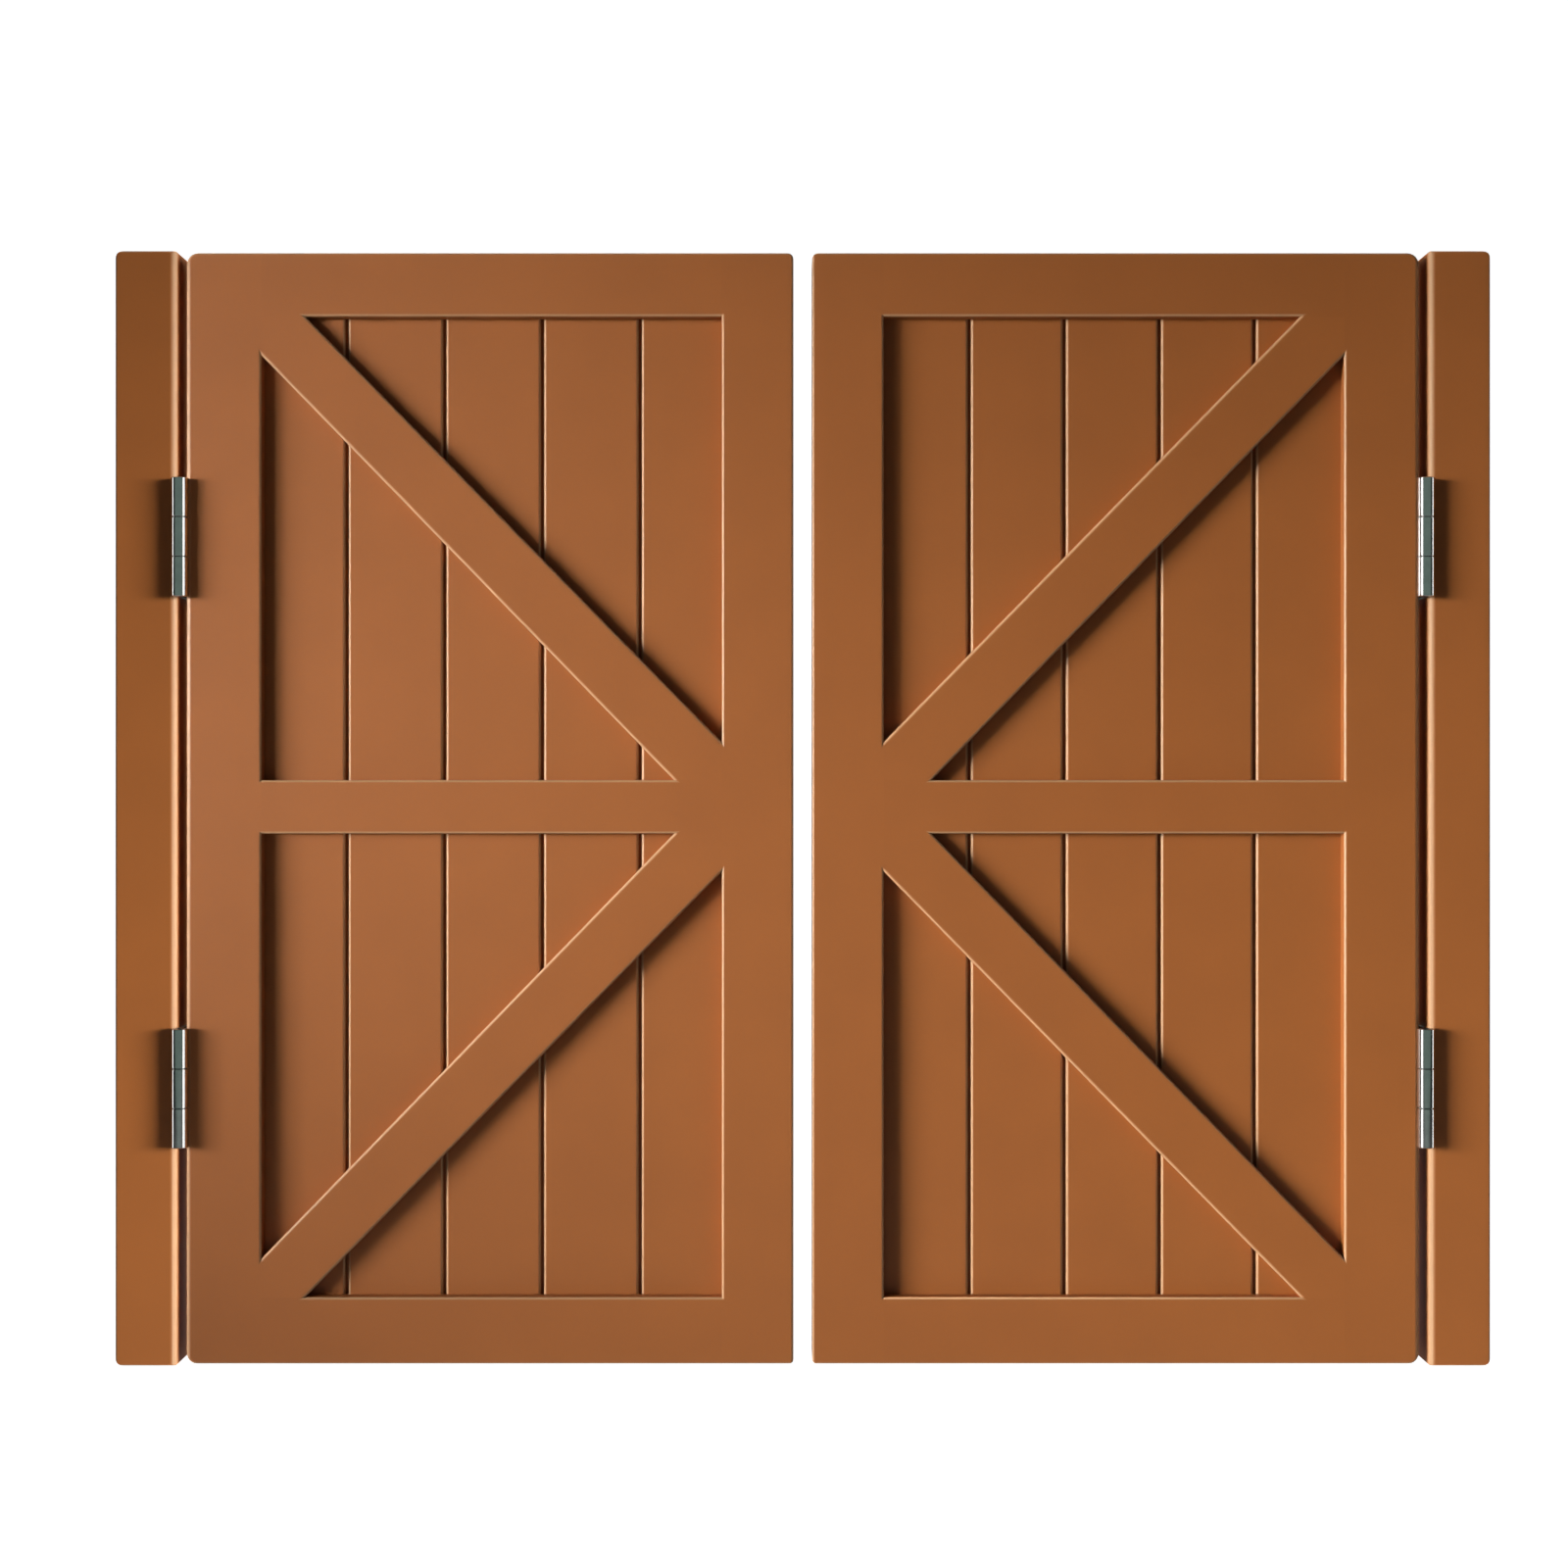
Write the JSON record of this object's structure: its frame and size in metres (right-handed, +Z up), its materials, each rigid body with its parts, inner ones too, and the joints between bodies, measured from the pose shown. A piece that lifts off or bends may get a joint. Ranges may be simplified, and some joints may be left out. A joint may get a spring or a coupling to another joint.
{
  "type": "cafe swinging doors",
  "caption": "Pair of short cafe doors with K-braced boarded leaves, swinging both ways between two wall posts on double-action spring hinges with twin barrels.",
  "frame": {"origin": "middle of the pair: midway between the leaves, in the middle of their thickness and at half the posts' height", "axes": "+X to the right across the doorway, +Y from the front to the back through the doorway, +Z up"},
  "size_m": [1.184, 0.0624, 0.96],
  "materials": {
    "painted_wood": "satin brown paint on wood",
    "hinge_steel": "brushed stainless",
    "spindle_steel": "turned",
    "spring_steel": "oiled spring wire"
  },
  "bodies": {
    "frame": {"left_post": "painted_wood", "right_post": "painted_wood", "left_upper_post_flange": "hinge_steel", "left_lower_post_flange": "hinge_steel", "right_upper_post_flange": "hinge_steel", "right_lower_post_flange": "hinge_steel"},
    "left_links": {"left_upper_link": "hinge_steel", "left_upper_front_spindle": "spindle_steel", "left_upper_back_spindle": "spindle_steel", "left_upper_front_spring": "spring_steel", "left_upper_back_spring": "spring_steel", "left_lower_link": "hinge_steel", "left_lower_front_spindle": "spindle_steel", "left_lower_back_spindle": "spindle_steel", "left_lower_front_spring": "spring_steel", "left_lower_back_spring": "spring_steel"},
    "left_leaf": {"left_hinge_stile": "painted_wood", "left_meeting_stile": "painted_wood", "left_top_rail": "painted_wood", "left_bottom_rail": "painted_wood", "left_front_middle_rail": "painted_wood", "left_front_upper_brace": "painted_wood", "left_front_lower_brace": "painted_wood", "left_back_middle_rail": "painted_wood", "left_back_upper_brace": "painted_wood", "left_back_lower_brace": "painted_wood", "left_board_1": "painted_wood", "left_board_2": "painted_wood", "left_board_3": "painted_wood", "left_board_4": "painted_wood", "left_board_5": "painted_wood", "left_upper_leaf_flange": "hinge_steel", "left_lower_leaf_flange": "hinge_steel"},
    "right_links": {"right_upper_link": "hinge_steel", "right_upper_front_spindle": "spindle_steel", "right_upper_back_spindle": "spindle_steel", "right_upper_front_spring": "spring_steel", "right_upper_back_spring": "spring_steel", "right_lower_link": "hinge_steel", "right_lower_front_spindle": "spindle_steel", "right_lower_back_spindle": "spindle_steel", "right_lower_front_spring": "spring_steel", "right_lower_back_spring": "spring_steel"},
    "right_leaf": {"right_hinge_stile": "painted_wood", "right_meeting_stile": "painted_wood", "right_top_rail": "painted_wood", "right_bottom_rail": "painted_wood", "right_front_middle_rail": "painted_wood", "right_front_upper_brace": "painted_wood", "right_front_lower_brace": "painted_wood", "right_back_middle_rail": "painted_wood", "right_back_upper_brace": "painted_wood", "right_back_lower_brace": "painted_wood", "right_board_1": "painted_wood", "right_board_2": "painted_wood", "right_board_3": "painted_wood", "right_board_4": "painted_wood", "right_board_5": "painted_wood", "right_upper_leaf_flange": "hinge_steel", "right_lower_leaf_flange": "hinge_steel"}
  },
  "joints": [
    {"name": "left_back_swing", "type": "hinge", "parent": "frame", "child": "left_links", "pos_m": [-0.535, 0.0237, 0], "axis": [0, 0, 1], "range_deg": [0, 90], "stiffness_Nm_per_rad": 2, "springref_deg": -22.92},
    {"name": "left_front_swing", "type": "hinge", "parent": "left_links", "child": "left_leaf", "pos_m": [-0.535, -0.0237, 0], "axis": [0, 0, -1], "range_deg": [0, 90], "stiffness_Nm_per_rad": 2, "springref_deg": -22.92},
    {"name": "right_front_swing", "type": "hinge", "parent": "frame", "child": "right_links", "pos_m": [0.535, -0.0237, 0], "axis": [0, 0, 1], "range_deg": [0, 90], "stiffness_Nm_per_rad": 2, "springref_deg": -22.92},
    {"name": "right_back_swing", "type": "hinge", "parent": "right_links", "child": "right_leaf", "pos_m": [0.535, 0.0237, 0], "axis": [0, 0, -1], "range_deg": [0, 90], "stiffness_Nm_per_rad": 2, "springref_deg": -22.92}
  ]
}
